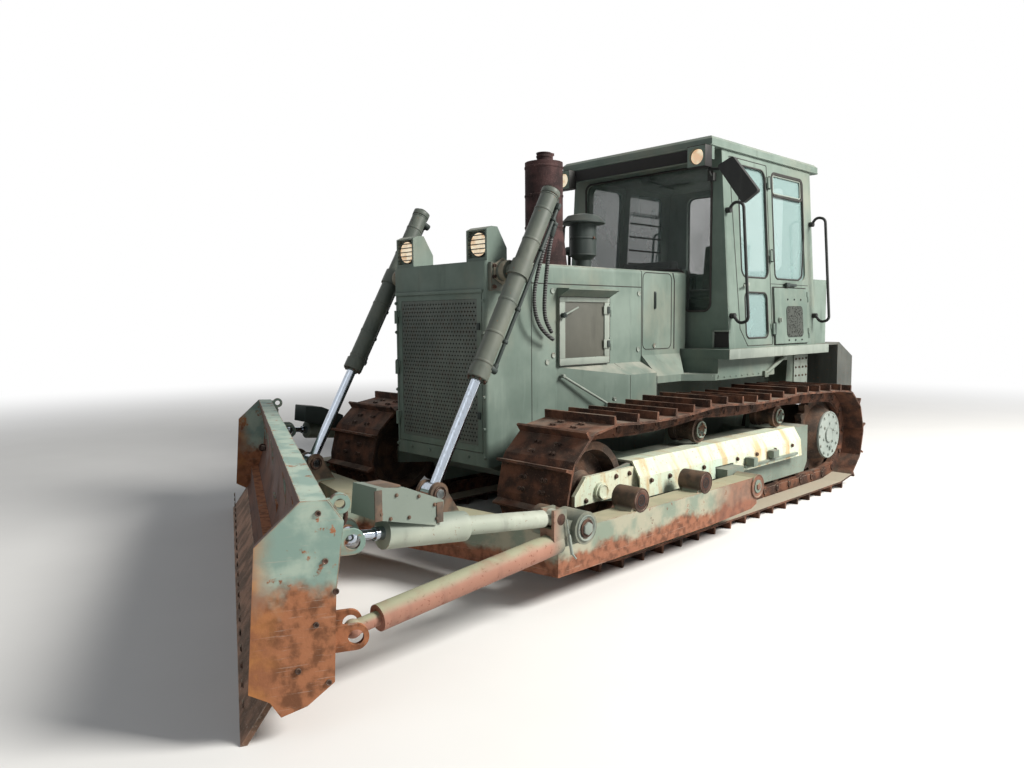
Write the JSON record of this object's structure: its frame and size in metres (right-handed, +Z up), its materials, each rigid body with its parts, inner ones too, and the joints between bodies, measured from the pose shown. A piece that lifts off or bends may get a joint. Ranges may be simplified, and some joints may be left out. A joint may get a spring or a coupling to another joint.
{
  "type": "bulldozer",
  "caption": "Tracked bulldozer with an enclosed cab, an angled blade on a C-shaped push frame, lift and tilt cylinders, and doors that open.",
  "frame": {"origin": "on the ground under the middle of the whole machine's bounding box, blade included", "axes": "+Z up, +Y towards the rear, +X towards the machine's left side; the radiator guard's front face lies at y = -1.270 m and the centre plane at x = +0.127 m"},
  "size_m": [3.6102, 6.74, 2.872],
  "materials": {
    "body_paint": "faded grey-green paint with chips, dust and run stains",
    "frame_paint": "grey-green paint, dirty and oily",
    "guard_paint": "cream and pale green paint, stained and scratched",
    "arm_paint": "pale teal paint worn through to cream and rust",
    "strut_paint": "salmon primer and rust under worn paint",
    "barrel_paint": "grey-green paint, oily",
    "blade_paint": "green paint worn away to brown rust on the curved face",
    "edge_steel": "worn steel with a film of rust",
    "track_steel": "brown rust with worn edges",
    "cast_parts": "rust, oil and old paint",
    "engine_iron": "oily painted iron",
    "core_metal": "dusty fins",
    "rod_chrome": "polished",
    "exhaust_steel": "heat-browned rust",
    "dark_trim": "black",
    "hose_rubber": "black hose",
    "seat_vinyl": "black vinyl",
    "glass": "greenish tint"
  },
  "bodies": {
    "machine": {"track_left": "track_steel", "track_right": "track_steel", "idlers": "cast_parts", "sprockets": "cast_parts", "bottom_rollers": "cast_parts", "carrier_rollers": "cast_parts", "track_frames": "frame_paint", "track_guards": "guard_paint", "main_frame": "frame_paint", "rear_case": "frame_paint", "final_drives": "cast_parts", "drawbar": "frame_paint", "engine_block": "engine_iron", "radiator_guard": "body_paint", "radiator_core": "core_metal", "hood": "body_paint", "side_panels": "body_paint", "cowl": "body_paint", "fenders": "body_paint", "platform": "body_paint", "cab_shell": "body_paint", "cab_glass": "glass", "cab_roof": "body_paint", "fuel_tank": "body_paint", "seat": "seat_vinyl", "dash": "dark_trim", "rear_box": "body_paint", "muffler": "exhaust_steel", "air_cleaner": "dark_trim", "lamps": "body_paint", "lift_yokes": "frame_paint", "handrails": "dark_trim", "mirror": "dark_trim"},
    "push_frame": {"push_frame": "arm_paint"},
    "blade": {"blade": "blade_paint", "cutting_edge": "edge_steel"},
    "strut_left": {"strut_left": "strut_paint", "tilt_cylinder_left": "arm_paint"},
    "strut_right": {"strut_right": "strut_paint", "tilt_cylinder_right": "arm_paint"},
    "tilt_rod_left": {"tilt_rod_left": "rod_chrome"},
    "tilt_rod_right": {"tilt_rod_right": "rod_chrome"},
    "lift_barrel_left": {"lift_barrel_left": "barrel_paint", "hose_front_left": "hose_rubber", "hose_rear_left": "hose_rubber"},
    "lift_barrel_right": {"lift_barrel_right": "barrel_paint"},
    "lift_rod_left": {"lift_rod_left": "rod_chrome"},
    "lift_rod_right": {"lift_rod_right": "rod_chrome"},
    "grille_door": {"grille_door": "body_paint"},
    "side_door_left": {"side_door_left": "body_paint"},
    "side_door_right": {"side_door_right": "body_paint"},
    "cab_door_left": {"cab_door_left": "body_paint", "door_glass_left": "glass"},
    "cab_door_right": {"cab_door_right": "body_paint", "door_glass_right": "glass"},
    "hatch_left": {"hatch_left": "body_paint"},
    "hatch_right": {"hatch_right": "body_paint"},
    "rain_flap": {"rain_flap": "exhaust_steel"}
  },
  "joints": [
    {"name": "blade_lift", "type": "hinge", "parent": "machine", "child": "push_frame", "pos_m": [0.1267, 0.36002, 0.335], "axis": [-1, 0, 0], "range_deg": [-7, 16]},
    {"name": "lift_barrel_left_swing", "type": "hinge", "parent": "machine", "child": "lift_barrel_left", "pos_m": [0.7867, -1.15398, 1.781], "axis": [-1, 0, 0], "range_deg": [-4.66, 10.64]},
    {"name": "lift_rod_left_stroke", "type": "slide", "parent": "lift_barrel_left", "child": "lift_rod_left", "axis": [0, -0.4872, -0.8733], "range_m": [-0.57247, 0.25045]},
    {"name": "lift_barrel_right_swing", "type": "hinge", "parent": "machine", "child": "lift_barrel_right", "pos_m": [-0.5333, -1.15398, 1.781], "axis": [-1, 0, 0], "range_deg": [-4.66, 10.64]},
    {"name": "lift_rod_right_stroke", "type": "slide", "parent": "lift_barrel_right", "child": "lift_rod_right", "axis": [0, -0.4872, -0.8733], "range_m": [-0.57247, 0.25045]},
    {"name": "blade_tilt", "type": "hinge", "parent": "push_frame", "child": "blade", "pos_m": [0.1267, -2.13998, 0.3], "axis": [0.4067, 0.9135, 0], "range_deg": [-3, 3]},
    {"name": "strut_left_swing", "type": "hinge", "parent": "push_frame", "child": "strut_left", "pos_m": [1.6317, -1.61498, 0.455], "axis": [1, 0, 0], "range_deg": [-3.88, 3.88]},
    {"name": "tilt_rod_left_stroke", "type": "slide", "parent": "strut_left", "child": "tilt_rod_left", "axis": [-0.0574, -0.9926, 0.1073], "range_m": [-0.00628, 0.00628]},
    {"name": "strut_right_swing", "type": "hinge", "parent": "push_frame", "child": "strut_right", "pos_m": [-1.3783, -0.27998, 0.455], "axis": [1, 0, 0], "range_deg": [-3.91, 3.91]},
    {"name": "tilt_rod_right_stroke", "type": "slide", "parent": "strut_right", "child": "tilt_rod_right", "axis": [-0.0044, -0.9944, 0.1055], "range_m": [-0.01948, 0.01948]},
    {"name": "grille_door_swing", "type": "hinge", "parent": "machine", "child": "grille_door", "pos_m": [-0.3113, -1.28448, 1.15], "axis": [0, 0, 1], "range_deg": [-85, 0]},
    {"name": "side_door_left_swing", "type": "hinge", "parent": "machine", "child": "side_door_left", "pos_m": [0.6152, -0.07398, 1.43], "axis": [0, 0, 1], "range_deg": [0, 90]},
    {"name": "side_door_right_swing", "type": "hinge", "parent": "machine", "child": "side_door_right", "pos_m": [-0.3618, -0.07398, 1.43], "axis": [0, 0, -1], "range_deg": [0, 90]},
    {"name": "cab_door_left_swing", "type": "hinge", "parent": "machine", "child": "cab_door_left", "pos_m": [0.94217, 1.64802, 1.955], "axis": [-0.0615, 0, 0.9981], "range_deg": [0, 90]},
    {"name": "cab_door_right_swing", "type": "hinge", "parent": "machine", "child": "cab_door_right", "pos_m": [-0.68878, 1.64802, 1.955], "axis": [-0.0615, 0, -0.9981], "range_deg": [0, 90]},
    {"name": "hatch_left_swing", "type": "hinge", "parent": "machine", "child": "hatch_left", "pos_m": [0.98253, 2.29602, 1.3], "axis": [-0.0615, 0, 0.9981], "range_deg": [0, 90]},
    {"name": "hatch_right_swing", "type": "hinge", "parent": "machine", "child": "hatch_right", "pos_m": [-0.72913, 2.29602, 1.3], "axis": [-0.0615, 0, -0.9981], "range_deg": [0, 90]},
    {"name": "rain_flap_lift", "type": "hinge", "parent": "machine", "child": "rain_flap", "pos_m": [0.1267, -0.18198, 2.6993], "axis": [-1, 0, 0], "range_deg": [0, 70]}
  ],
  "couplings": [
    {"joint": "lift_barrel_left_swing", "follows": "blade_lift", "ratio": 0.665},
    {"joint": "lift_rod_left_stroke", "follows": "blade_lift", "m_per_rad": -2.05},
    {"joint": "lift_barrel_right_swing", "follows": "blade_lift", "ratio": 0.665},
    {"joint": "lift_rod_right_stroke", "follows": "blade_lift", "m_per_rad": -2.05},
    {"joint": "strut_left_swing", "follows": "blade_tilt", "ratio": 1.295},
    {"joint": "tilt_rod_left_stroke", "follows": "blade_tilt", "m_per_rad": -0.12},
    {"joint": "strut_right_swing", "follows": "blade_tilt", "ratio": -1.303},
    {"joint": "tilt_rod_right_stroke", "follows": "blade_tilt", "m_per_rad": 0.372}
  ]
}
